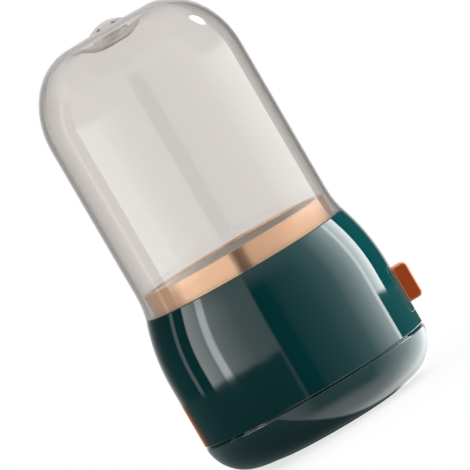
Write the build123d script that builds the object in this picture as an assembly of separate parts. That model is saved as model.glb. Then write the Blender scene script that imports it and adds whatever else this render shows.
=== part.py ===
from build123d import *
import math
import os

# A rotating makeup brush holder: a clear dome over a brush cup, a turning body with a drawer, and a base.
# Lengths are millimetres, +Z is up, and the origin is the middle of the face that the holder stands on.
# The body turns about Z, and the drawer opens towards +X.

# Outer form
body_radius = 70.0
base_height = 24.7
seam_gap = 0.6
body_height = 77.2
shoulder_height = 38.5
shoulder_inset = 6.7
flare_width = 2.1
flare_height = 14.5
dome_rise = 153.2
dome_corner_height = 45.0
crest_radius = 25.0
dimple_depth = 7.6
dimple_floor_radius = 6.0

# Walls and small rounds
shell_wall = 2.5
dish_wall = 2.6
dome_wall = 2.4
shell_top_round = 0.6
shell_low_round = 0.8
dish_round = 0.9
dome_foot_round = 0.5

# Clearances
fit_gap = 0.05
screw_gap = 0.2
running_gap = 0.3
window_gap = 0.4
play_gap = 0.4

# Pad and hub of the base
pad_margin = 4.3
pad_thickness = 1.6
pad_recess = 0.6
pad_edge_gap = 0.2
hub_radius = 14.5
lip_top_gap = 1.5
lip_wall = 2.0
lip_gap = 0.5
rib_count = 8
rib_width = 1.8
rib_height = 7.0

# Spindle, bush and what holds them together
spindle_radius = 7.0
bush_wall = 1.6
bush_flange_width = 2.4
bush_flange_height = 1.0
bush_top_gap = 0.5
washer_radius = 11.5
washer_thickness = 1.6
pivot_pocket_radius = 12.4
pivot_head_radius = 3.2
pivot_head_height = 2.2
pivot_screw_radius = 1.6
pivot_screw_length = 12.0

# Turntable bearing
race_radius = 32.0
race_width = 8.0
race_height = 4.0
race_lip_width = 2.0
race_lip_height = 1.6
race_space = 2.4
ball_radius = 3.0
ball_gap = 0.1
ball_count = 12
cage_margin = 1.0

# Floor plate of the body
floor_recess = 2.7
floor_thickness = 2.5
floor_edge_gap = 0.25
boss_inset = 6.5
boss_channel_gap = 5.7
boss_radius = 3.6
boss_height = 14.0
boss_web = 2.4
floor_screw_radius = 1.5
floor_screw_head_radius = 2.8
floor_screw_head_height = 1.8
floor_screw_grip = 9.0

# Drawer
front_width = 64.0
front_height = 29.0
front_corner = 4.0
front_edge_round = 0.3
front_side_wall = 2.2
tray_wall = 1.8
tray_drop = 1.5
tray_inset = 3.0
tray_corner = 3.0
tray_inner_round = 1.2
tray_rim_round = 0.5
flange_width = 2.0
flange_thickness = 2.0
flange_height = 7.5
flange_end = 4.0
stop_engagement = 30.0
stop_width = 14.0
stop_thickness = 2.4
stop_floor_gap = 1.0

# Channels that guide the drawer
rail_thickness = 2.8
rail_width = 8.0
channel_wall = 2.4
channel_lip_overlap = 1.4
channel_lip_thickness = 2.0
channel_front_setback = 2.0
channel_back_setback = 17.5
runner_screw_radius = 1.1
runner_screw_head_radius = 2.2
runner_screw_head_height = 1.4
runner_screw_bite = 2.2
runner_screw_spacing = 74.0

# Pull tab of the drawer
pull_projection = 9.5
pull_height = 22.0
pull_width = 8.0
pull_corner = 2.8
pull_edge_round = 1.5
pull_screw_radius = 1.5
pull_screw_head_radius = 2.9
pull_screw_head_height = 1.8
pull_screw_bite = 5.5
pull_screw_spacing = 11.0
pull_boss_radius = 3.6

# Cup, divider and collar
collar_height = 12.8
collar_wall = 1.4
collar_gap = 1.4
collar_lip_width = 4.2
collar_lip_thickness = 1.1
collar_round = 0.5
cup_wall = 2.0
cup_seat = 1.35
cup_hole_gap = 0.25
cup_clearance = 2.6
cup_round = 3.0
divider_tube_radius = 17.0
divider_wall = 1.6
divider_sag = 6.0
divider_drop = 3.0
divider_edge_gap = 0.4
vane_count = 4

# Knob of the dome
knob_radius = 11.0
knob_rise = 3.6
knob_edge = 1.2
knob_edge_round = 0.4
knob_stem_height = 2.8
knob_stem_radius = 4.0
knob_spigot_radius = 2.5

# Finding a round edge again, and reaching clear past a surface that is cut
match = 0.001
overrun = 1.0
facing_share = 0.5

# Heights that follow from the sizes above
base_bottom = pad_thickness - pad_recess
dish_floor = base_bottom + dish_wall
seam_height = base_height + seam_gap
ledge_height = seam_height + body_height
shoulder_low = ledge_height - shoulder_height
floor_low = seam_height + floor_recess
floor_top = floor_low + floor_thickness
boss_top = floor_top + boss_height
rail_top = floor_top + rail_thickness
runner_screw_top = floor_top + runner_screw_bite
tray_bottom = rail_top + running_gap
front_top = tray_bottom + front_height
front_middle = tray_bottom + front_height / 2
tray_top = front_top - tray_drop
flange_low = tray_bottom + flange_height
flange_top = flange_low + flange_thickness
channel_lip_low = flange_top + running_gap
channel_top = channel_lip_low + channel_lip_thickness
cup_bottom = front_top + window_gap + cup_clearance
cup_floor = cup_bottom + cup_wall
collar_top = ledge_height + collar_height
cup_rim = collar_top - collar_lip_thickness
divider_top = cup_rim - divider_drop
dome_crest = ledge_height + dome_rise
dimple_floor = dome_crest - dimple_depth
ball_height = floor_low - race_height - race_space / 2
upper_race_face = ball_height + race_space / 2
lower_race_face = ball_height - race_space / 2
pedestal_top = lower_race_face - race_height
pocket_top = pad_thickness + running_gap + pivot_head_height + washer_thickness + running_gap
spindle_end = pocket_top - running_gap
bush_top = floor_low - bush_top_gap
hub_top = bush_top - bush_flange_height

# Radii and distances that follow from the sizes above
base_corner = base_height - base_bottom
dish_inner_corner = base_corner - dish_wall
base_corner_centre = body_radius - base_corner
pad_radius = base_corner_centre - pad_margin
shell_inner = body_radius - shell_wall
foot_radius = body_radius - shoulder_inset
shoulder_radius = (shoulder_height**2 + shoulder_inset**2) / (2 * shoulder_inset)
dome_radius = foot_radius - flare_width
flare_radius = (flare_height**2 + flare_width**2) / (2 * flare_width)
lip_outer = shell_inner - lip_gap
lip_inner = lip_outer - lip_wall
boss_circle_radius = shell_inner - boss_inset
collar_radius = dome_radius - dome_wall - collar_gap
collar_inner = collar_radius - collar_wall
cup_neck_radius = collar_inner - fit_gap
cup_radius = cup_neck_radius - cup_seat
cup_inner = cup_radius - cup_wall
ledge_hole = cup_radius + cup_hole_gap
race_inner = race_radius - race_width / 2
race_outer = race_radius + race_width / 2
race_lip_outer = race_inner - fit_gap
race_lip_inner = race_inner - race_lip_width
bush_bore = spindle_radius + fit_gap
bush_outer = bush_bore + bush_wall
front_half = front_width / 2
front_back = math.sqrt(shell_inner**2 - front_half**2)
tray_half = front_half - tray_inset
flange_half = tray_half + flange_width
channel_inner = flange_half + play_gap
channel_outer = channel_inner + channel_wall
channel_room = math.sqrt((shell_inner - floor_edge_gap) ** 2 - channel_outer**2)
channel_front = channel_room - channel_front_setback
channel_back = channel_back_setback - channel_room
tray_back = channel_back
front_stop = channel_front - stop_engagement
boss_side = channel_outer + boss_channel_gap + boss_radius
boss_along = math.sqrt(boss_circle_radius**2 - boss_side**2)

# How shapes stand: on their low end, or on their low end at the three sides
ON_END = (Align.CENTER, Align.CENTER, Align.MIN)
FROM_CORNER = (Align.MIN, Align.MIN, Align.MIN)


def disc(radius, low, high):
    """A plain cylinder on the turning axis, between two heights."""
    return Pos(0, 0, low) * Cylinder(radius, high - low, align=ON_END)


def ring(outer, inner, low, high):
    """A plain ring on the turning axis, between two heights."""
    return disc(outer, low, high) - disc(inner, low, high)


def block(x_low, x_high, y_low, y_high, z_low, z_high):
    """A plain block between two corners."""
    size = Box(x_high - x_low, y_high - y_low, z_high - z_low, align=FROM_CORNER)
    return Pos(x_low, y_low, z_low) * size


def peg(x, y, radius, low, high):
    """An upright cylinder at a place on the plan."""
    return Pos(x, y, 0) * disc(radius, low, high)


def rod(y, z, radius, x_low, x_high):
    """A cylinder along the way the drawer slides."""
    return Pos(x_low, y, z) * Rot(0, 90, 0) * Cylinder(radius, x_high - x_low, align=ON_END)


def turned(*edges):
    """The solid made by turning a closed outline of radius and height about the axis."""
    return revolve(Plane.XZ * make_face(edges), Axis.Z)


def lines(*points):
    """Straight edges from point to point."""
    return [Line(first, second) for first, second in zip(points, points[1:])]


def rims(shape, radius, height):
    """The full round edges of a shape at one radius and height."""
    found = []
    for edge in shape.edges().filter_by(GeomType.CIRCLE):
        at_height = abs(edge.arc_center.Z - height) < match
        if at_height and abs(edge.radius - radius) < match:
            found.append(edge)
    return found


def around(circle_radius, count):
    """Evenly spaced places on a circle."""
    places = []
    for index in range(count):
        angle = math.radians(360 * index / count)
        places.append((circle_radius * math.cos(angle), circle_radius * math.sin(angle)))
    return places


def body_form(inset):
    """The solid round form of the body, drawn in from its outer face by an inset."""
    radius = body_radius - inset
    arc_radius = shoulder_radius - inset
    top = ledge_height - inset
    centre = body_radius - shoulder_radius
    sweep = math.degrees(math.asin((top - shoulder_low) / arc_radius))
    arc = CenterArc((centre, shoulder_low), arc_radius, 0, sweep)
    corner = arc @ 1
    sides = lines((radius, shoulder_low), (radius, seam_height), (0, seam_height), (0, top), (corner.X, top))
    return turned(arc, *sides)


def bowl_form(corner, bottom):
    """The solid round form of the base dish, with a quarter round from its side to its bottom."""
    arc = CenterArc((base_corner_centre, base_height), corner, 270, 90)
    side = base_corner_centre + corner
    sides = lines((side, base_height), (0, base_height), (0, bottom), (base_corner_centre, bottom))
    return turned(arc, *sides)


def drawer_prism(margin, x_low, x_high):
    """The upright block with round corners that the drawer front slides through."""
    half = front_half + margin
    solid = block(x_low, x_high, -half, half, tray_bottom - margin, front_top + margin)
    return fillet(solid.edges().filter_by(Axis.X), front_corner + margin)


def screw(head_radius, head_height, radius, length):
    """A pan head screw with its shank up from the seat of its head at height zero."""
    shank = Cylinder(radius, length, align=ON_END)
    head = Pos(0, 0, -head_height) * Cylinder(head_radius, head_height, align=ON_END)
    head = fillet(rims(head, head_radius, -head_height), head_height / 2)
    slot = Pos(0, 0, -head_height) * Box(head_radius, radius / 2, head_height)
    return head + shank - slot


def make_base_dish():
    """The bowl with its edge lip, bearing pedestal, hub, screw pocket and pad recess."""
    bowl = bowl_form(base_corner, base_bottom)
    bowl = fillet(rims(bowl, body_radius, base_height), dish_round)
    hollow = bowl_form(dish_inner_corner, dish_floor) & disc(lip_inner, dish_floor, base_height)
    dish = bowl - hollow + ring(lip_outer, lip_inner, base_height, floor_low - lip_top_gap)
    half = rib_width / 2
    sunk = dish_wall / 2
    rib_room = bowl_form(base_corner - sunk, base_bottom + sunk)
    rib = block(0, body_radius, -half, half, base_bottom + sunk, dish_floor + rib_height) & rib_room
    for index in range(rib_count):
        dish += Rot(0, 0, 360 * index / rib_count) * rib
    dish += ring(race_outer, race_lip_inner, dish_floor, pedestal_top)
    dish += ring(race_lip_outer, race_lip_inner, pedestal_top, pedestal_top + race_lip_height)
    dish += disc(hub_radius, dish_floor, hub_top)
    dish -= disc(bush_outer + fit_gap, pocket_top, hub_top)
    dish -= disc(pivot_pocket_radius, base_bottom, pocket_top)
    dish -= disc(pad_radius + pad_edge_gap, base_bottom, pad_thickness)
    return dish


def make_non_slip_pad():
    """The disc under the base."""
    return disc(pad_radius, 0, pad_thickness)


def race_groove():
    """The round track of the balls."""
    return Pos(0, 0, ball_height) * Torus(race_radius, ball_radius + ball_gap)


def make_lower_race():
    """The lower bearing ring, on the pedestal."""
    return ring(race_outer, race_inner, pedestal_top, lower_race_face) - race_groove()


def make_upper_race():
    """The upper bearing ring, under the floor plate."""
    return ring(race_outer, race_inner, upper_race_face, floor_low) - race_groove()


def make_pivot_bush():
    """The flanged plain bearing in the hub."""
    tube = disc(bush_outer, pocket_top, bush_top)
    flange = disc(bush_outer + bush_flange_width, hub_top, bush_top)
    return tube + flange - disc(bush_bore, pocket_top, bush_top)


def make_ball_cage():
    """The ring that keeps the balls apart."""
    low = lower_race_face + running_gap
    high = upper_race_face - running_gap
    cage = ring(race_outer + cage_margin, race_inner - cage_margin, low, high)
    for x, y in around(race_radius, ball_count):
        cage -= peg(x, y, ball_radius + ball_gap, low, high)
    return cage


def make_bearing_balls():
    """The balls between the two races."""
    balls = []
    for x, y in around(race_radius, ball_count):
        balls.append(Pos(x, y, ball_height) * Sphere(ball_radius))
    return Compound(children=balls)


def boss_places():
    """Where the screw bosses of the shell stand, outside the two channels."""
    return [(x, y) for x in (-boss_along, boss_along) for y in (-boss_side, boss_side)]


def make_body_shell():
    """The green body: wall, ledge with the hole of the cup, drawer window and screw bosses."""
    form = body_form(0)
    form = fillet(rims(form, foot_radius, ledge_height), shell_top_round)
    form = fillet(rims(form, body_radius, seam_height), shell_low_round)
    shell = form - body_form(shell_wall) - disc(ledge_hole, ledge_height - shell_wall - overrun, ledge_height)
    for x, y in boss_places():
        angle = math.degrees(math.atan2(y, x))
        half = boss_web / 2
        web = block(boss_circle_radius, shell_inner + shell_wall / 2, -half, half, floor_top, boss_top)
        shell += Rot(0, 0, angle) * web
        shell += peg(x, y, boss_radius, floor_top, boss_top)
        shell -= peg(x, y, floor_screw_radius + fit_gap, floor_top, floor_top + floor_screw_grip + overrun)
    return shell - drawer_prism(window_gap, 0, body_radius + overrun)


def stop_block(x_low, x_high):
    """A low block on the floor plate that the drawer meets."""
    return block(x_low, x_high, -stop_width / 2, stop_width / 2, floor_top, tray_bottom - running_gap)


def runner_screw_places():
    """Where the screws of the two channels go through the floor plate."""
    middle = (channel_front + channel_back) / 2
    side = channel_outer - rail_width / 2
    places = []
    for x in (middle - runner_screw_spacing / 2, middle + runner_screw_spacing / 2):
        places += [(x, side), (x, -side)]
    return places


def make_body_floor():
    """The floor plate with its spindle, seat of the upper race and stops of the drawer."""
    plate = disc(shell_inner - floor_edge_gap, floor_low, floor_top)
    plate += disc(spindle_radius, spindle_end, floor_low)
    plate += ring(race_lip_outer, race_lip_inner, floor_low - race_lip_height, floor_low)
    plate += stop_block(front_stop, front_stop + stop_thickness)
    back_stop = tray_back - running_gap
    half = stop_width / 2
    plate += block(back_stop - stop_thickness, back_stop, -half, half, floor_top, flange_low)
    for x, y in boss_places():
        plate -= peg(x, y, floor_screw_radius + screw_gap, floor_low, floor_top)
    for x, y in runner_screw_places():
        plate -= peg(x, y, runner_screw_radius + screw_gap, floor_low, floor_top)
    return plate - disc(pivot_screw_radius + fit_gap, spindle_end, spindle_end + pivot_screw_length)


def make_pivot_washer():
    """The washer that keeps the spindle from lifting out of the base."""
    low = spindle_end - washer_thickness
    return ring(washer_radius, pivot_screw_radius + screw_gap, low, spindle_end)


def make_pivot_screw():
    """The screw up into the spindle, through the washer."""
    length = washer_thickness + pivot_screw_length - overrun
    one = screw(pivot_head_radius, pivot_head_height, pivot_screw_radius, length)
    return Pos(0, 0, spindle_end - washer_thickness) * one


def make_floor_screws():
    """The screws up through the floor plate into the bosses of the shell."""
    length = floor_thickness + floor_screw_grip
    one = screw(floor_screw_head_radius, floor_screw_head_height, floor_screw_radius, length)
    return Compound(children=[Pos(x, y, floor_low) * one for x, y in boss_places()])


def make_runner(side):
    """One channel: a rail under the tray, a wall beside it and a lip over its flange."""
    rail = block(channel_back, channel_front, channel_outer - rail_width, channel_outer, floor_top, rail_top)
    wall = block(channel_back, channel_front, channel_inner, channel_outer, floor_top, channel_top)
    lip_edge = flange_half - channel_lip_overlap
    lip = block(channel_back, channel_front, lip_edge, channel_outer, channel_lip_low, channel_top)
    channel = rail + wall + lip
    channel = channel if side > 0 else mirror(channel, Plane.XZ)
    for x, y in runner_screw_places():
        channel -= peg(x, y, runner_screw_radius + fit_gap, floor_top, runner_screw_top + fit_gap)
    return channel


def make_runner_screws():
    """The short screws up through the floor plate into the channels."""
    length = floor_thickness + runner_screw_bite
    one = screw(runner_screw_head_radius, runner_screw_head_height, runner_screw_radius, length)
    return Compound(children=[Pos(x, y, floor_low) * one for x, y in runner_screw_places()])


def cup_room(radius, low, high):
    """The round space of the cup, with its bottom edge rounded."""
    return fillet(rims(disc(radius, low, high), radius, low), cup_round)


def make_brush_cup():
    """The cup: it hangs by its neck on the ledge of the shell."""
    cup = cup_room(cup_radius, cup_bottom, ledge_height) + disc(cup_neck_radius, ledge_height, cup_rim)
    return cup - cup_room(cup_inner, cup_floor, cup_rim)


def make_brush_divider():
    """The tube and vanes in the cup, with the tops of the vanes hanging in a shallow curve."""
    reach = cup_inner - divider_edge_gap
    tube = ring(divider_tube_radius, divider_tube_radius - divider_wall, cup_floor, divider_top)
    start = divider_tube_radius - divider_wall / 2
    half = divider_wall / 2
    vanes = None
    for index in range(vane_count):
        vane = block(start, reach + overrun, -half, half, cup_floor, divider_top)
        vane = Rot(0, 0, 360 * index / vane_count) * vane
        vanes = vane if vanes is None else vanes + vane
    low = (divider_tube_radius, divider_top)
    middle = ((divider_tube_radius + reach) / 2, divider_top - divider_sag)
    high = (reach, divider_top)
    vanes -= turned(ThreePointArc(low, middle, high), Line(high, low))
    return tube + (vanes & cup_room(reach, cup_floor, divider_top))


def make_collar_ring():
    """The rose gold ring over the neck of the cup, with a flat lip on its rim."""
    collar = ring(collar_radius, collar_inner, ledge_height, collar_top)
    collar += ring(collar_radius, collar_radius - collar_lip_width, cup_rim, collar_top)
    edges = rims(collar, collar_radius, collar_top)
    edges += rims(collar, collar_radius - collar_lip_width, collar_top)
    return fillet(edges, collar_round)


def pull_screw_heights():
    """Heights of the two screws of the pull."""
    return [front_middle - pull_screw_spacing / 2, front_middle + pull_screw_spacing / 2]


def make_drawer_tray():
    """The open tray with its side flanges and the stop under its back."""
    outer = block(tray_back, front_back, -tray_half, tray_half, tray_bottom, tray_top)
    corners = outer.edges().filter_by(Axis.Z).group_by(Axis.X)[0]
    outer = fillet(corners, tray_corner)
    inner_half = tray_half - tray_wall
    inner_back = tray_back + tray_wall
    inner_front = front_back - tray_wall
    inner = block(inner_back, inner_front, -inner_half, inner_half, tray_bottom + tray_wall, tray_top)
    inner_edges = inner.edges().filter_by(Axis.Z) + inner.faces().sort_by(Axis.Z)[0].edges()
    tray = outer - fillet(inner_edges, tray_inner_round)
    tray = fillet(tray.faces().sort_by(Axis.Z)[-1].edges(), tray_rim_round)
    flange_back = tray_back + tray_corner
    for side in (-1, 1):
        near, far = sorted((side * (tray_half - tray_wall / 2), side * flange_half))
        tray += block(flange_back, channel_front - flange_end, near, far, flange_low, flange_top)
    half = stop_width / 2
    drop = floor_top + stop_floor_gap
    tray += block(tray_back, tray_back + stop_thickness, -half, half, drop, tray_bottom + tray_wall)
    for height in pull_screw_heights():
        tray -= rod(0, height, pull_screw_radius + screw_gap, inner_front - overrun, front_back)
    return tray


def face_outline(solid):
    """The edges round the faces of a solid that look out of the drawer window."""
    facing = [face for face in solid.faces() if face.normal_at().X > facing_share]
    edges = [edge for face in facing for edge in face.edges()]
    return [edge for edge in edges if sum(edge.is_same(other) for other in edges) == 1]


def make_drawer_front():
    """The hollow front that follows the round body, with two screw bosses behind its face."""
    far = body_radius + overrun
    solid = drawer_prism(0, front_back, far) & body_form(0)
    solid = fillet(face_outline(solid), front_edge_round)
    hollow = drawer_prism(-front_side_wall, front_back, far) & body_form(shell_wall)
    front = solid - hollow
    for height in pull_screw_heights():
        front += rod(0, height, pull_boss_radius, front_back, shell_inner + shell_wall / 2)
        front -= rod(0, height, pull_screw_radius + screw_gap, front_back, far)
    return front


def make_drawer_pull():
    """The tab, with round outer corners and its back hollowed to the round of the body."""
    half = pull_width / 2
    low = front_middle - pull_height / 2
    tab = block(front_back, body_radius + pull_projection, -half, half, low, low + pull_height)
    corners = tab.edges().filter_by(Axis.Y).group_by(Axis.X)[-1]
    tab = fillet(corners, pull_corner)
    faces = tab.faces().filter_by(Axis.Y)
    tab = fillet([edge for face in faces for edge in face.edges()], pull_edge_round)
    tab -= body_form(-fit_gap)
    bite = body_radius + pull_screw_bite
    for height in pull_screw_heights():
        tab -= rod(0, height, pull_screw_radius + fit_gap, front_back, bite + fit_gap)
    return tab


def make_pull_screws():
    """The screws from inside the tray, through the front and into the pull."""
    seat = front_back - tray_wall
    length = body_radius + pull_screw_bite - seat
    one = screw(pull_screw_head_radius, pull_screw_head_height, pull_screw_radius, length)
    lying = Rot(0, 90, 0) * one
    return Compound(children=[Pos(seat, 0, height) * lying for height in pull_screw_heights()])


def dome_skin(depth):
    """The edges of the dome from foot to dimple, at a depth in from its outer face."""
    side = dome_radius - depth
    straight_top = dome_crest - dome_corner_height
    flare_top = ledge_height + flare_height
    arc_radius = flare_radius + depth
    sweep = math.degrees(math.asin(flare_height / arc_radius))
    flare = CenterArc((dome_radius + flare_radius, flare_top), arc_radius, 180, sweep)
    wall = Line((side, flare_top), (side, straight_top))
    width = dome_radius - crest_radius
    tall = dome_corner_height - depth
    corner = EllipticalCenterArc((crest_radius, straight_top), width - depth, tall, 0, arc_size=90)
    run = crest_radius - dimple_floor_radius
    turn_radius = (run**2 + dimple_depth**2) / (4 * dimple_depth)
    turn = math.degrees(math.asin(run / (2 * turn_radius)))
    crest = CenterArc((crest_radius, dome_crest - turn_radius), turn_radius - depth, 90, turn)
    bed = CenterArc((dimple_floor_radius, dimple_floor + turn_radius), turn_radius + depth, 270, turn)
    low = dimple_floor - depth
    middle = Line((dimple_floor_radius, low), (knob_spigot_radius + fit_gap, low))
    return [flare, wall, corner, crest, bed, middle]


def make_dome_cover():
    """The clear dome: flared foot, straight wall, round shoulder and a dimple for the knob."""
    outer = dome_skin(0)
    inner = dome_skin(dome_wall)
    foot = Line(outer[0] @ 1, inner[0] @ 1)
    hole = Line(outer[-1] @ 1, inner[-1] @ 1)
    dome = turned(*outer, *inner, foot, hole)
    edges = rims(dome, foot_radius, ledge_height)
    return fillet(edges, dome_foot_round)


def make_dome_knob():
    """The clear knob: a spigot in the dome, a stem in the dimple and a low round head."""
    top = dome_crest + knob_rise
    edge_top = dome_crest
    edge_low = edge_top - knob_edge
    stem_top = dimple_floor + knob_stem_height
    seat = dimple_floor + fit_gap
    low = dimple_floor - dome_wall
    head = TangentArc((0, top), (knob_radius, edge_top), tangent=(1, 0))
    width = knob_radius - knob_stem_radius
    under = EllipticalCenterArc((knob_radius, stem_top), width, edge_low - stem_top, 90, arc_size=90)
    edge = Line((knob_radius, edge_top), (knob_radius, edge_low))
    sides = lines(
        (knob_stem_radius, stem_top),
        (knob_stem_radius, seat),
        (knob_spigot_radius, seat),
        (knob_spigot_radius, low),
        (0, low),
        (0, top),
    )
    knob = turned(head, edge, under, *sides)
    edges = rims(knob, knob_radius, edge_top) + rims(knob, knob_radius, edge_low)
    return fillet(edges, knob_edge_round)


pieces = {
    "base_dish": make_base_dish(),
    "non_slip_pad": make_non_slip_pad(),
    "lower_race": make_lower_race(),
    "pivot_bush": make_pivot_bush(),
    "ball_cage": make_ball_cage(),
    "bearing_balls": make_bearing_balls(),
    "body_shell": make_body_shell(),
    "body_floor": make_body_floor(),
    "upper_race": make_upper_race(),
    "pivot_washer": make_pivot_washer(),
    "pivot_screw": make_pivot_screw(),
    "floor_screws": make_floor_screws(),
    "runner_left": make_runner(1),
    "runner_right": make_runner(-1),
    "runner_screws": make_runner_screws(),
    "brush_cup": make_brush_cup(),
    "brush_divider": make_brush_divider(),
    "collar_ring": make_collar_ring(),
    "drawer_tray": make_drawer_tray(),
    "drawer_front": make_drawer_front(),
    "drawer_pull": make_drawer_pull(),
    "pull_screws": make_pull_screws(),
    "dome_cover": make_dome_cover(),
    "dome_knob": make_dome_knob(),
}

os.makedirs("parts", exist_ok=True)
for name, shape in pieces.items():
    export_step(shape, f"parts/{name}.step")
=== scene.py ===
# %% [markdown]
# # A rotating makeup brush holder
#
# A clear dome stands over a divided cup, a rose gold collar closes the mouth of the cup, and a glossy teal body
# with a small drawer turns on a bowl-shaped base. The pieces could be modelled here as meshes. Every one of them
# is a rigid solid with an exact shape, though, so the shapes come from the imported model, and this lesson gives
# them their finishes, a studio and a camera.

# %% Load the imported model
import math

import bpy
from mathutils import Matrix, Vector


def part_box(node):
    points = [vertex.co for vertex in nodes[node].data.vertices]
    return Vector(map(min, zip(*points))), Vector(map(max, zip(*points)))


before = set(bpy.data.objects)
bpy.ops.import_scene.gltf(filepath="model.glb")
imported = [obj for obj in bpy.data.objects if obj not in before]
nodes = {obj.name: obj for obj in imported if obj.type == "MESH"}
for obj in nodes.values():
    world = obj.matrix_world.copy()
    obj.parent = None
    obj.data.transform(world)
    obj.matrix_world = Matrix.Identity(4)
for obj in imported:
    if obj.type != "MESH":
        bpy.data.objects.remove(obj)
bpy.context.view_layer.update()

# %% [markdown]
# ## The camera
#
# The picture was taken from far away with a long lens, so the sides of the dome look parallel and the round edges
# are very flat ellipses. The holder leans to the left in the picture. The model could be leaned over too, but a
# real holder would fall, so the camera is rolled instead, and the holder stays upright. The pull tab stands out
# from just behind the edge of the body, so the camera is also a few degrees round the axis from the side view. The
# lens follows from the width of the field that the square picture shows at the turning axis.

# %% Camera
SENSOR_MM = 36.0
CAMERA_DISTANCE = 3.2
CAMERA_NEAREST = 0.05
FIELD_WIDTH = 0.2622
CAMERA_ELEVATION = math.radians(2.8)
CAMERA_TURN = math.radians(-10)
CAMERA_ROLL = math.radians(-30.2)
LOOK_AT = Vector((0.0039, 0.0, 0.1195))

camera_data = bpy.data.cameras.new("photo_camera")
camera_data.sensor_width = SENSOR_MM
camera_data.lens = SENSOR_MM * CAMERA_DISTANCE / FIELD_WIDTH
camera_data.clip_start = CAMERA_NEAREST
camera = bpy.data.objects.new("photo_camera", camera_data)
scene = bpy.context.scene
scene.collection.objects.link(camera)
back = Vector((0.0, -math.cos(CAMERA_ELEVATION), math.sin(CAMERA_ELEVATION)))
upright = back.to_track_quat("Z", "Y").to_matrix().to_4x4()
place = Matrix.Translation(LOOK_AT + CAMERA_DISTANCE * back)
turned = Matrix.Rotation(CAMERA_TURN, 4, "Z")
camera.matrix_world = turned @ place @ upright @ Matrix.Rotation(CAMERA_ROLL, 4, "Z")
scene.camera = camera
print("lens", round(camera_data.lens, 1), "mm")

# %% [markdown]
# ## The studio
#
# A polished round body is a mirror, and what it shows is the room. In the picture there is a broad pale screen on
# each side, a bright strip beside each screen, and a dark gap where the camera stands. White cards and lamps could
# stand round the holder as meshes. A world that depends on the direction is simpler: it is a list of numbers, it
# reaches all the way round, and nothing in it gets in the way of another view. The screens are listed by bearing,
# in degrees from the camera with right as positive, and by brightness. Two neighbouring bearings with different
# values make an edge.

# %% Screens of the studio
SCREENS = [
    (-180, 1.0),
    (-168, 0.8),
    (-158, 0.4),
    (-146, 0.14),
    (-135, 0.05),
    (-109, 0.05),
    (-108, 1.1),
    (-104, 1.1),
    (-103, 0.05),
    (-90, 0.05),
    (-88, 4.0),
    (-71, 3.0),
    (-70, 8.0),
    (-63, 8.0),
    (-61, 2.7),
    (-33, 1.35),
    (-10, 1.05),
    (-8, 0.03),
    (8, 0.03),
    (11, 0.15),
    (41, 0.4),
    (66, 1.0),
    (75, 2.0),
    (84, 2.8),
    (100, 4.8),
    (102, 9.0),
    (105, 9.0),
    (106, 6.0),
    (121, 9.0),
    (122, 0.03),
    (155, 0.03),
    (165, 1.0),
]
print("screens:", len(SCREENS), "stops")

# %% [markdown]
# The base curves under, so it mirrors what lies low in the room, where the screens have ended. The collar mirrors
# the room from inside the dome, whose wall softens it. One list could serve for all of them, but then a change for
# the body would spoil the base and the collar, so the low room and the room inside the dome have their own.

# %% Low room and room inside the dome
LOW_ROOM = [
    (-180, 0.3),
    (-100, 0.2),
    (-79, 0.1),
    (-70, 0.45),
    (-48, 0.7),
    (-40, 1.4),
    (-28, 1.3),
    (-6, 0.5),
    (6, 0.43),
    (55, 0.55),
    (65, 0.95),
    (79, 1.65),
    (90, 2.2),
    (105, 2.8),
    (120, 3.4),
    (150, 3.3),
    (165, 1.6),
]
DOME_ROOM = [
    (-180, 0.6),
    (-138, 0.77),
    (-88, 0.85),
    (-78, 1.6),
    (-59, 1.57),
    (-45, 1.42),
    (-9, 1.4),
    (-7, 0.1),
    (7, 0.25),
    (9, 1.0),
    (45, 1.17),
    (75, 1.47),
    (111, 1.7),
    (125, 1.5),
    (138, 0.8),
]
print("low room:", len(LOW_ROOM), "stops, inside the dome:", len(DOME_ROOM), "stops")

# %% [markdown]
# ### Sums in nodes
#
# A world or a material is a tree of nodes, and most of this studio is small sums on directions. They could be laid
# out by hand in the node editor. Written as helpers, each sum is one line below, and the order stays readable.

# %% Helpers for sums
def feed(tree, socket, value):
    """Gives a socket a number, or links another socket to it."""
    if isinstance(value, (int, float)):
        socket.default_value = value
    else:
        tree.links.new(value, socket)


def sum_node(tree, operation, *values):
    """One sum in a node tree. Each value is a number or a socket."""
    node = tree.nodes.new("ShaderNodeMath")
    node.operation = operation
    for socket, value in zip(node.inputs, values):
        feed(tree, socket, value)
    return node.outputs[0]


def product(tree, first, second):
    """The product of two values. Of two shares, it is the share where both hold."""
    return sum_node(tree, "MULTIPLY", first, second)


def ease(tree, value, start, end):
    """Rises smoothly from 0 to 1 as a value goes from start to end."""
    node = tree.nodes.new("ShaderNodeMapRange")
    node.interpolation_type = "SMOOTHSTEP"
    node.inputs["From Min"].default_value = start
    node.inputs["From Max"].default_value = end
    tree.links.new(value, node.inputs["Value"])
    return node.outputs["Result"]


print("sums ready")

# %% [markdown]
# Two more kinds of node mix two values or two colours by a share, and measure how far a vector reaches along a
# fixed way. Finished shaders could be mixed in place of values, but plain numbers are easier to follow, and only the
# floor needs more than one shader.

# %% Helpers for mixing and measuring
def blend(tree, share, first, second):
    """Goes from the first value to the second as the share goes from 0 to 1."""
    node = tree.nodes.new("ShaderNodeMix")
    tree.links.new(share, node.inputs["Factor"])
    feed(tree, node.inputs["A"], first)
    feed(tree, node.inputs["B"], second)
    return node.outputs["Result"]


def mix_colours(tree, share, first, second):
    """Goes from the first colour to the second. Each is three numbers or a socket."""
    node = tree.nodes.new("ShaderNodeMix")
    node.data_type = "RGBA"
    tree.links.new(share, node.inputs["Factor"])
    for name, colour in (("A", first), ("B", second)):
        if isinstance(colour, tuple):
            node.inputs[name].default_value = (*colour, 1.0)
        else:
            tree.links.new(colour, node.inputs[name])
    return node.outputs["Result"]


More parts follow.
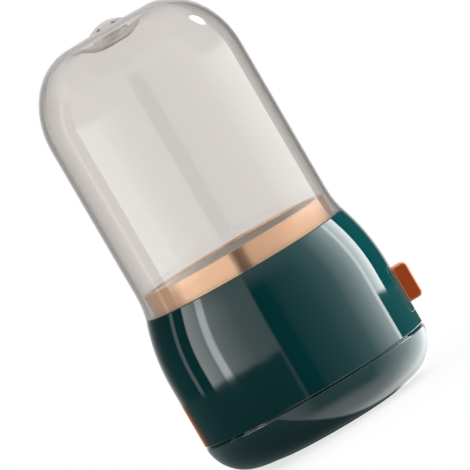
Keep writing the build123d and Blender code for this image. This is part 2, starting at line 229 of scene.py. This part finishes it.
def reach(tree, vector, way):
    """How far a vector reaches along a fixed way."""
    node = tree.nodes.new("ShaderNodeVectorMath")
    node.operation = "DOT_PRODUCT"
    tree.links.new(vector, node.inputs[0])
    node.inputs[1].default_value = way
    return node.outputs["Value"]


print("mixing ready")

# %% [markdown]
# ### Bearings
#
# The world's own direction is turned so that the camera's side is the front, and the bearing comes from its two
# level parts. The picture could be matched with a room fixed to the holder as well, but a room fixed to the camera's
# first place lets the lists be read straight off the picture. The view transform is the plain one, so that a colour
# comes out as it is written.

# %% World and bearings
scene.view_settings.view_transform = "Standard"
world = bpy.data.worlds.new("studio")
scene.world = world
world.use_nodes = True
tree = world.node_tree
tree.nodes.clear()

facing = tree.nodes.new("ShaderNodeVectorRotate")
facing.rotation_type = "Z_AXIS"
facing.inputs["Angle"].default_value = -CAMERA_TURN
tree.links.new(tree.nodes.new("ShaderNodeTexCoord").outputs["Generated"], facing.inputs["Vector"])
direction = facing.outputs["Vector"]
part_of = tree.nodes.new("ShaderNodeSeparateXYZ")
tree.links.new(direction, part_of.inputs[0])
height = part_of.outputs["Z"]
nearness = product(tree, part_of.outputs["Y"], -1.0)
bearing = sum_node(tree, "ARCTAN2", part_of.outputs["X"], nearness)
HALF_TURN = 0.5
turn_share = sum_node(tree, "ADD", sum_node(tree, "DIVIDE", bearing, 2 * math.pi), HALF_TURN)
print("camera's side is turned by", round(math.degrees(CAMERA_TURN)), "degrees")

# %% [markdown]
# A colour ramp turns a list into brightness: each stop is one bearing. A chain of comparisons would do the same with
# far more nodes. A ramp can't hold values above one, so it holds shares of the brightest strip, and they are
# multiplied up after it.

# %% Rooms by bearing
def room(tree, turn_share, listed):
    """The brightness of the room at each bearing, from a list of bearings and values."""
    brightest = max(brightness for degrees, brightness in listed)
    ramp = tree.nodes.new("ShaderNodeValToRGB")
    tree.links.new(turn_share, ramp.inputs[0])
    stops = ramp.color_ramp.elements
    while len(stops) < len(listed):
        stops.new(1.0)
    for stop, (degrees, brightness) in zip(stops, listed):
        share = brightness / brightest
        stop.position = degrees / 360 + HALF_TURN
        stop.color = (share, share, share, 1.0)
    print("room of", len(listed), "stops, brightest", brightest)
    return product(tree, ramp.outputs["Color"], brightest)


screens = room(tree, turn_share, SCREENS)
low_room = room(tree, turn_share, LOW_ROOM)
dome_room = room(tree, turn_share, DOME_ROOM)

# %% [markdown]
# ### What the gloss shows
#
# The body shows a table just below the level of the eye, dark on the left and on the far right. Below that comes the
# low room, which is pale straight down. The dome shows the bright strips only faintly, and its edge has to stand out
# from a white page on every side. It could have a duller finish, but then it would not be clear. It is the one
# perfectly smooth piece, so its rays are the singular ones, and for them the room is veiled, most of all above and
# below the level that its upright wall shows. Each range below is where a change starts and where it is complete,
# and a height is the sine of the angle above level.

# %% Table, low room and veil
def rise(degrees):
    """The height of a direction that many degrees above level."""
    return math.sin(math.radians(degrees))


VEILED_SCREENS, VEILED_ABOVE, VEILED_LOW_ROOM = 3.2, 1.0, 0.6
VEIL_ABOVE = (rise(-0.8), rise(12))
TABLE_TOP = (rise(-3.98), rise(-4.05))
TABLE_LEFT = (math.radians(-6), math.radians(-14))
TABLE_FAR = (math.radians(-150), math.radians(-135))
TABLE_RIGHT = (math.radians(105), math.radians(106))
TABLE_BRIGHTNESS = 0.1
LOW = (rise(-5.0), rise(-6.5))
DEEP = (rise(-35), rise(-70))
DEEP_BRIGHTNESS = 2.0

path = tree.nodes.new("ShaderNodeLightPath")
by_dome = path.outputs["Is Singular Ray"]
veil = blend(tree, ease(tree, height, *VEIL_ABOVE), VEILED_SCREENS, VEILED_ABOVE)
screens = blend(tree, by_dome, screens, sum_node(tree, "MINIMUM", screens, veil))
below_table = ease(tree, height, *TABLE_TOP)
on_left = product(tree, ease(tree, bearing, *TABLE_LEFT), ease(tree, bearing, *TABLE_FAR))
on_right = ease(tree, bearing, *TABLE_RIGHT)
table = product(tree, below_table, sum_node(tree, "ADD", on_left, on_right))
low = ease(tree, height, *LOW)
low_room = blend(tree, ease(tree, height, *DEEP), low_room, DEEP_BRIGHTNESS)
low_room = blend(tree, by_dome, low_room, sum_node(tree, "MINIMUM", low_room, VEILED_LOW_ROOM))
around = blend(tree, low, blend(tree, table, screens, TABLE_BRIGHTNESS), low_room)
print("room round the holder:", len(tree.nodes), "nodes so far")

# %% [markdown]
# Above the screens the room is white, with one bright patch, the small highlight on the crown of the dome. A lamp
# object could make that highlight, but it would light the holder as well. A patch in the mirrored room is seen by
# the gloss alone.

# %% White above and highlight
WHITE = 1.0
SCREEN_TOP = (rise(22), rise(42))
HIGHLIGHT_BEARING, HIGHLIGHT_HEIGHT = math.radians(122), math.radians(26)
HIGHLIGHT_CORE, HIGHLIGHT_RIM = math.radians(3), math.radians(7)
HIGHLIGHT_BRIGHTNESS = 12.0


def soft_patch(tree, bearing, height, core, rim):
    """A round soft patch in the world: 1 in its core, 0 outside its rim."""
    level = math.cos(height)
    middle = (level * math.sin(bearing), -level * math.cos(bearing), math.sin(height))
    return ease(tree, reach(tree, direction, middle), math.cos(rim), math.cos(core))


above = ease(tree, height, *SCREEN_TOP)
highlight = soft_patch(tree, HIGHLIGHT_BEARING, HIGHLIGHT_HEIGHT, HIGHLIGHT_CORE, HIGHLIGHT_RIM)
mirrored = blend(tree, highlight, blend(tree, above, around, WHITE), HIGHLIGHT_BRIGHTNESS)
print("highlight", round(math.degrees(HIGHLIGHT_HEIGHT)), "degrees up")

# %% [markdown]
# ### Light
#
# The screens are for the gloss alone. They could light the holder too, but they are far too bright for a plain
# level of light. So the light is a second, plainer room: a low even light from all round, and one large soft lamp
# to the right and a little behind, as in the picture, where the right-hand edge of the body glows in its own
# colour. The dome takes some of the light on its way to the cup, and light through it is stronger to make up for it.

# %% Light of the studio
EVEN_LIGHT = 0.26
LAMP_BEARING, LAMP_HEIGHT = math.radians(115), math.radians(28)
LAMP_CORE, LAMP_RIM = math.radians(20), math.radians(55)
LAMP_BRIGHTNESS = 3.9
DOME_LIGHT = 2.0

lamp = soft_patch(tree, LAMP_BEARING, LAMP_HEIGHT, LAMP_CORE, LAMP_RIM)
light = sum_node(tree, "ADD", product(tree, lamp, LAMP_BRIGHTNESS), EVEN_LIGHT)
through = path.outputs["Is Transmission Ray"]
light = product(tree, light, blend(tree, through, 1.0, DOME_LIGHT))
print("lamp", round(math.degrees(LAMP_BEARING)), "degrees round,", round(math.degrees(LAMP_HEIGHT)), "up")

# %% [markdown]
# ### Which ray sees what
#
# A ray that has met a matt surface on its way gets the plain light, and a ray from a mirror gets the room. What the
# camera sees, straight or through the clear dome, is plain white, the colour of the page behind the holder. Light
# that was turned about inside the wall of the dome has crossed few faces, and it is a little darker, which draws
# the edges of the dome. Dark cards behind the holder are the usual way to draw glass, but they would show in other
# views, so the Light Path node sorts the rays instead. Counts are compared with a half, because they are whole.

# %% Rays
NONE_YET = 0.5
FEW_FACES = 3.5
WALL_BRIGHTNESS = 0.5

unscattered = sum_node(tree, "LESS_THAN", path.outputs["Diffuse Depth"], NONE_YET)
unmirrored = sum_node(tree, "LESS_THAN", path.outputs["Glossy Depth"], NONE_YET)
by_mirror = product(tree, path.outputs["Is Glossy Ray"], unscattered)
straight_through = product(tree, through, product(tree, unscattered, unmirrored))
near_wall = sum_node(tree, "LESS_THAN", path.outputs["Transmission Depth"], FEW_FACES)
from_inside = sum_node(tree, "GREATER_THAN", path.outputs["Transmission Depth"], FEW_FACES)
mirrored = blend(tree, from_inside, mirrored, dome_room)
mirrored = blend(tree, product(tree, through, near_wall), mirrored, WALL_BRIGHTNESS)
seen = sum_node(tree, "MAXIMUM", path.outputs["Is Camera Ray"], straight_through)
brightness = blend(tree, seen, blend(tree, by_mirror, light, mirrored), WHITE)
print("rays sorted:", len(tree.nodes), "nodes so far")

# %% [markdown]
# Behind the holder on the left the table is of warm wood, which gives the left-hand edge of the body a thin brown
# line. A coloured room would need three lists in place of one. One tint, kept to that part of the table and to rays
# straight from the gloss, does it with a few sums.

# %% Wood of the table
WOOD = (math.radians(-142), math.radians(-152))
WOOD_TINT = (1.0, 0.42, 0.22)
PLAIN_TINT = (1.0, 1.0, 1.0)

outside = sum_node(tree, "LESS_THAN", path.outputs["Transmission Depth"], NONE_YET)
by_gloss = product(tree, by_mirror, outside)
wood = product(tree, ease(tree, bearing, *WOOD), below_table)
wood = product(tree, wood, sum_node(tree, "SUBTRACT", 1.0, low))
background = tree.nodes.new("ShaderNodeBackground")
tint = mix_colours(tree, product(tree, wood, by_gloss), PLAIN_TINT, WOOD_TINT)
tree.links.new(tint, background.inputs["Color"])
tree.links.new(brightness, background.inputs["Strength"])
world_out = tree.nodes.new("ShaderNodeOutputWorld")
tree.links.new(background.outputs[0], world_out.inputs["Surface"])
print("whole world:", len(tree.nodes), "nodes")

# %% [markdown]
# ## The floor
#
# The holder stands on a plain pale floor. A large square could run to the horizon, but its edge would show. A disc
# that keeps a soft shadow near the holder and fades to pure white further out has no edge to see. It lies a hair
# under the pad.

# %% Floor disc
FLOOR_RADIUS = 0.25
FLOOR_SIDES = 96
FLOOR_DROP = 0.0002

floor_mesh = bpy.data.meshes.new("floor")
corners = []
for index in range(FLOOR_SIDES):
    angle = 2 * math.pi * index / FLOOR_SIDES
    corners.append((FLOOR_RADIUS * math.cos(angle), FLOOR_RADIUS * math.sin(angle), -FLOOR_DROP))
floor_mesh.from_pydata(corners, [], [list(range(FLOOR_SIDES))])
floor = bpy.data.objects.new("floor", floor_mesh)
scene.collection.objects.link(floor)
print("floor:", FLOOR_SIDES, "sides, radius", FLOOR_RADIUS, "m")

# %% [markdown]
# The floor is part matt, which takes the shadow, and part plain white, which doesn't. One grey paint with a strong
# lamp could look as white, but it would throw that light back at the holder. Here the floor throws little light
# back up, so that the sides of the holder keep their depth, and in the gloss it is nearly all shaded matt.

# %% Floor paint
FADE = (0.08, 0.22)
NEAR_WHITENESS = 0.75
FLOOR_PALE, FLOOR_BOUNCE = 0.9, 0.25
MIRRORED_WHITENESS = 0.12

floor_paint = bpy.data.materials.new("pale_floor")
floor_paint.use_nodes = True
tree = floor_paint.node_tree
tree.nodes.clear()
path = tree.nodes.new("ShaderNodeLightPath")
lights_others = path.outputs["Is Diffuse Ray"]
not_through = sum_node(tree, "SUBTRACT", 1.0, path.outputs["Is Transmission Ray"])
is_mirrored = product(tree, path.outputs["Is Glossy Ray"], not_through)
matt = tree.nodes.new("ShaderNodeBsdfDiffuse")
indirect = sum_node(tree, "MAXIMUM", lights_others, is_mirrored)
tree.links.new(blend(tree, indirect, FLOOR_PALE, FLOOR_BOUNCE), matt.inputs["Color"])
page_white = tree.nodes.new("ShaderNodeEmission")
spot = tree.nodes.new("ShaderNodeTexCoord").outputs["Object"]
distance = tree.nodes.new("ShaderNodeVectorMath")
distance.operation = "LENGTH"
tree.links.new(spot, distance.inputs[0])
fade = ease(tree, distance.outputs["Value"], *FADE)
whiteness = blend(tree, lights_others, blend(tree, fade, NEAR_WHITENESS, WHITE), 0.0)
whiteness = blend(tree, is_mirrored, whiteness, MIRRORED_WHITENESS)
print("fades to white from", FADE[0], "to", FADE[1], "m")

# %% [markdown]
# The gloss of the base shows the shaded floor close by, which ends at two straight edges, as a card under the holder
# would, and beyond them the low room. Each edge has a bearing and two distances from the axis, where it starts and
# where it is complete. A real card would do the same, but it would show to the camera too. From below the whole
# floor is clear, so that the underside of the base can be seen.

# %% Edges and underside of the floor
CARD_EDGES = [
    (math.radians(36), (0.0505, 0.0535)),
    (math.radians(90), (0.036, 0.046)),
]


def mix_shaders(tree, share, first, second):
    """Goes from the first shader to the second as the share goes from 0 to 1."""
    node = tree.nodes.new("ShaderNodeMixShader")
    for socket, value in zip(node.inputs, (share, first.outputs[0], second.outputs[0])):
        tree.links.new(value, socket)
    return node


beyond = 0.0
for edge_bearing, edge_range in CARD_EDGES:
    turn = CAMERA_TURN + edge_bearing
    outwards = reach(tree, spot, (math.sin(turn), -math.cos(turn), 0.0))
    beyond = sum_node(tree, "MAXIMUM", beyond, ease(tree, outwards, *edge_range))
from_below = tree.nodes.new("ShaderNodeNewGeometry").outputs["Backfacing"]
open_share = sum_node(tree, "MAXIMUM", product(tree, beyond, is_mirrored), from_below)
painted = mix_shaders(tree, whiteness, matt, page_white)
opened = mix_shaders(tree, open_share, painted, tree.nodes.new("ShaderNodeBsdfTransparent"))
floor_out = tree.nodes.new("ShaderNodeOutputMaterial")
tree.links.new(opened.outputs[0], floor_out.inputs["Surface"])
floor_mesh.materials.append(floor_paint)
print("floor paint:", len(tree.nodes), "nodes,", len(CARD_EDGES), "edges")

# %% [markdown]
# ## Finishes
#
# Each finish is one material with one main shader. Real surfaces have two things that plain ones lack: a slight
# drift of the colour and the gloss, and a fine unevenness. Painted image maps could hold both, but soft random
# patterns need no unwrapping and stay sharp at any distance. They are laid out in the holder's own metres, so a
# larger scale is a finer pattern.

# %% Helpers for a finish and its pattern
def new_finish(name, roughness):
    """A new material with its main shader and its tree."""
    material = bpy.data.materials.new(name)
    material.use_nodes = True
    tree = material.node_tree
    shader = tree.nodes["Principled BSDF"]
    shader.inputs["Roughness"].default_value = roughness
    return material, tree, shader


def noise(tree, scale, detail=3.0, stretch=(1.0, 1.0, 1.0)):
    """A soft random pattern in the holder's own metres."""
    where = tree.nodes.new("ShaderNodeTexCoord").outputs["Object"]
    mapping = tree.nodes.new("ShaderNodeMapping")
    mapping.inputs["Scale"].default_value = stretch
    tree.links.new(where, mapping.inputs["Vector"])
    pattern = tree.nodes.new("ShaderNodeTexNoise")
    pattern.inputs["Scale"].default_value = scale
    pattern.inputs["Detail"].default_value = detail
    tree.links.new(mapping.outputs["Vector"], pattern.inputs["Vector"])
    return pattern.outputs["Fac"]


def dress(material, *names):
    """Gives pieces a finish."""
    for name in names:
        slots = nodes[name].data.materials
        slots.clear()
        slots.append(material)
    print(material.name, "on", ", ".join(names))


print("pieces to dress:", len(nodes))

# %% [markdown]
# Three helpers use the pattern. Colour and gloss wander between two close values, as they do where hands and cloths
# have been. The unevenness is a bump, which bends the light and leaves the mesh alone. The meshes could be displaced,
# but the unevenness is hundredths of a millimetre, far below what a mesh can carry.

# %% Helpers for drift and unevenness
def drift_colour(tree, shader, scale, first, second):
    """Lets the colour wander slowly between two close ones."""
    colour = mix_colours(tree, noise(tree, scale), first, second)
    tree.links.new(colour, shader.inputs["Base Color"])


def drift_roughness(tree, shader, scale, low, high, detail=5.0):
    """Lets the gloss wander between two values."""
    spread = tree.nodes.new("ShaderNodeMapRange")
    spread.inputs["To Min"].default_value = low
    spread.inputs["To Max"].default_value = high
    tree.links.new(noise(tree, scale, detail), spread.inputs["Value"])
    tree.links.new(spread.outputs["Result"], shader.inputs["Roughness"])


def roughen(tree, shader, pattern, depth, strength):
    """Raises and lowers the surface by a pattern, in metres."""
    bump = tree.nodes.new("ShaderNodeBump")
    bump.inputs["Strength"].default_value = strength
    bump.inputs["Distance"].default_value = depth
    tree.links.new(pattern, bump.inputs["Height"])
    tree.links.new(bump.outputs["Normal"], shader.inputs["Normal"])


print("drift ready")

# %% [markdown]
# ### Glossy teal
#
# The base, the body and the drawer front are moulded in one deep teal plastic with a mirror gloss. Where no screen
# is reflected the colour itself shows, dark and saturated. A clear coat over a matt colour would look like lacquer,
# so the gloss is the plastic's own. A very faint ripple, as moulded plastic has, keeps long reflections from being
# perfectly straight, and the gloss drifts a little from place to place.

# %% Glossy teal
teal, tree, shader = new_finish("glossy_teal", roughness=0.025)
drift_colour(tree, shader, scale=9.0, first=(0.0006, 0.058, 0.062), second=(0.0010, 0.066, 0.070))
drift_roughness(tree, shader, scale=30.0, low=0.008, high=0.022)
shader.inputs["IOR"].default_value = 1.5
roughen(tree, shader, noise(tree, scale=60.0, detail=1.0), depth=0.00002, strength=0.15)
dress(teal, "body_shell", "base_dish", "drawer_front")

# %% [markdown]
# ### Clear dome
#
# The dome and its knob are clear plastic with a slightly warm, smoky tint. A half-transparent paint would be quicker
# to render, but the look of a thin clear wall is all in the darker lines at its edges, where the light goes a long
# way through the wall, and that needs true refraction. So part of the dome's tint is inside its wall, and part on
# its faces. The knob stands in the dimple of the dome with a hair's gap round it, and has its tint on its faces
# alone, because a tint inside so thick a piece would look dark.

# %% Clear plastic
def clear_finish(name):
    """Clear plastic with a tint on its faces."""
    material, tree, shader = new_finish(name, roughness=0.0)
    shader.inputs["Base Color"].default_value = (0.85, 0.84, 0.825, 1.0)
    shader.inputs["Transmission Weight"].default_value = 1.0
    shader.inputs["IOR"].default_value = 1.49
    roughen(tree, shader, noise(tree, scale=25.0, detail=1.0), depth=0.00002, strength=0.1)
    return material, tree


clear, tree = clear_finish("clear_plastic")
smoke = tree.nodes.new("ShaderNodeVolumeAbsorption")
smoke.inputs["Color"].default_value = (0.55, 0.38, 0.28, 1.0)
smoke.inputs["Density"].default_value = 34.0
tree.links.new(smoke.outputs[0], tree.nodes["Material Output"].inputs["Volume"])
dress(clear, "dome_cover")
clear_knob, tree = clear_finish("clear_knob")
dress(clear_knob, "dome_knob")

# %% [markdown]
# ### Rose gold
#
# The collar is a turned metal ring, satin and anodised to rose gold. Fine turning lines run round it. Cutting them
# into the mesh would take thousands of faces. What they do to the light is to spread it up and down and keep it
# sharp sideways, and an anisotropic gloss does the same: its direction runs round the axis, and a quarter turn sets
# the spread across the lines.

# %% Rose gold
gold, tree, shader = new_finish("rose_gold_satin", roughness=0.22)
shader.inputs["Metallic"].default_value = 1.0
shader.inputs["Anisotropic"].default_value = 0.7
shader.inputs["Anisotropic Rotation"].default_value = 0.25
drift_colour(tree, shader, scale=30.0, first=(0.91, 0.56, 0.35), second=(0.94, 0.61, 0.40))
drift_roughness(tree, shader, scale=120.0, low=0.19, high=0.26)
turning_lines = noise(tree, scale=60.0, detail=2.0, stretch=(1.0, 1.0, 90.0))
roughen(tree, shader, turning_lines, depth=0.00002, strength=0.3)
dress(gold, "collar_ring")

# %% [markdown]
# ### Tan pull
#
# The pull tab of the drawer is a warm orange tan, satin rather than glossy, with a fine grain like dressed hide. Its
# edges are painted paler, a painted highlight where the rounded edges would catch the light. A second material on the
# edge faces could do that, but its border would be hard. Here the distance from the outline sets it: the outline is a
# rectangle with round corners, seen from the side, and its middle and half sizes are those of the tab's own box.

# %% Distance from the outline of the pull
EDGE_CORNER = 0.0028
tan, tree, shader = new_finish("tan_pull", roughness=0.4)
pull_low, pull_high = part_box("drawer_pull")
middle = [(low + high) / 2 for low, high in zip(pull_low, pull_high)]
half = [(high - low) / 2 for low, high in zip(pull_low, pull_high)]
where = tree.nodes.new("ShaderNodeSeparateXYZ")
tree.links.new(tree.nodes.new("ShaderNodeTexCoord").outputs["Object"], where.inputs[0])


def past_corner(axis):
    """How far a point lies beyond the start of the round corner along one axis."""
    index = "XYZ".index(axis)
    from_middle = sum_node(tree, "SUBTRACT", where.outputs[axis], middle[index])
    size = sum_node(tree, "ABSOLUTE", from_middle)
    return sum_node(tree, "SUBTRACT", size, half[index] - EDGE_CORNER)


def square_beyond(value):
    """The square of what is above zero in a value."""
    return sum_node(tree, "POWER", sum_node(tree, "MAXIMUM", value, 0.0), 2.0)


out_x, out_z = past_corner("X"), past_corner("Z")
squares = sum_node(tree, "ADD", square_beyond(out_x), square_beyond(out_z))
round_part = sum_node(tree, "POWER", squares, 0.5)
flat_part = sum_node(tree, "MINIMUM", sum_node(tree, "MAXIMUM", out_x, out_z), 0.0)
outline = sum_node(tree, "SUBTRACT", sum_node(tree, "ADD", round_part, flat_part), EDGE_CORNER)
print("pull:", [round(2 * size, 4) for size in half], "m")

# %% [markdown]
# The painted edge highlight is where a point is near that outline and near one of the two sides as well. Either one
# alone would also paint the narrow ends or the whole of the flat sides.

# %% Tan pull
EDGE_WIDTH, EDGE_BLEND = 0.0011, 0.0003
EDGE_ROUND = 0.0014
at_outline = ease(tree, outline, -EDGE_WIDTH - EDGE_BLEND, -EDGE_WIDTH + EDGE_BLEND)
side = EDGE_CORNER - EDGE_ROUND
at_side = ease(tree, past_corner("Y"), side - EDGE_BLEND, side + EDGE_BLEND)

face = mix_colours(tree, noise(tree, scale=160.0), (0.68, 0.086, 0.009), (0.78, 0.116, 0.015))
# painted highlight: the paler colour on the edges stands in for light caught by the rounded edges
tan_and_edge_highlight = mix_colours(tree, product(tree, at_outline, at_side), face, (0.90, 0.38, 0.21))
tree.links.new(tan_and_edge_highlight, shader.inputs["Base Color"])
shader.inputs["Specular IOR Level"].default_value = 0.25
drift_roughness(tree, shader, scale=300.0, low=0.34, high=0.48)
roughen(tree, shader, noise(tree, scale=1400.0, detail=4.0), depth=0.00006, strength=0.5)
dress(tan, "drawer_pull")

# %% [markdown]
# ### Ivory inner pieces
#
# The cup, its divider and the drawer tray are plain satin mouldings in a warm off-white. A perfectly even finish
# would look like paper, so the gloss drifts, and the surface has the fine grain of a spark-cut mould.

# %% Ivory plastic
ivory, tree, shader = new_finish("ivory_plastic", roughness=0.32)
drift_colour(tree, shader, scale=14.0, first=(0.74, 0.70, 0.65), second=(0.80, 0.77, 0.72))
drift_roughness(tree, shader, scale=60.0, low=0.26, high=0.4)
roughen(tree, shader, noise(tree, scale=700.0, detail=2.0), depth=0.00002, strength=0.35)
dress(ivory, "brush_cup", "brush_divider", "drawer_tray")

# %% [markdown]
# ### Running gear
#
# The floor plate is a dark moulding, the races, cage, bush and channels are natural nylon, and the balls, screws and
# washer are bright steel. They show only at the drawer window and from below, and one grey could do for all of them.
# They have their own finishes all the same, because the holder may be opened or turned over.

# %% Running gear
dark, tree, shader = new_finish("dark_moulding", roughness=0.5)
drift_colour(tree, shader, scale=20.0, first=(0.012, 0.03, 0.031), second=(0.02, 0.042, 0.043))
roughen(tree, shader, noise(tree, scale=900.0, detail=2.0), depth=0.00004, strength=0.4)
dress(dark, "body_floor")

nylon, tree, shader = new_finish("natural_nylon", roughness=0.45)
drift_colour(tree, shader, scale=25.0, first=(0.70, 0.67, 0.60), second=(0.78, 0.75, 0.68))
roughen(tree, shader, noise(tree, scale=800.0, detail=2.0), depth=0.00003, strength=0.3)
dress(nylon, "lower_race", "upper_race", "ball_cage", "pivot_bush", "runner_left", "runner_right")

steel, tree, shader = new_finish("bright_steel", roughness=0.22)
shader.inputs["Metallic"].default_value = 1.0
drift_colour(tree, shader, scale=200.0, first=(0.52, 0.52, 0.53), second=(0.62, 0.62, 0.63))
drift_roughness(tree, shader, scale=500.0, low=0.16, high=0.3)
dress(steel, "bearing_balls", "pivot_washer", "pivot_screw", "floor_screws", "runner_screws", "pull_screws")

# %% [markdown]
# ### Non-slip pad
#
# The disc under the base is soft dark rubber with a fine stipple. Stippling the mesh would take far more faces than
# the rest of the holder, and a bump of a tenth of a millimetre looks the same from any distance.

# %% Rubber pad
rubber, tree, shader = new_finish("pad_rubber", roughness=0.75)
drift_colour(tree, shader, scale=60.0, first=(0.018, 0.018, 0.02), second=(0.035, 0.035, 0.037))
roughen(tree, shader, noise(tree, scale=1500.0, detail=3.0), depth=0.0001, strength=0.6)
dress(rubber, "non_slip_pad")
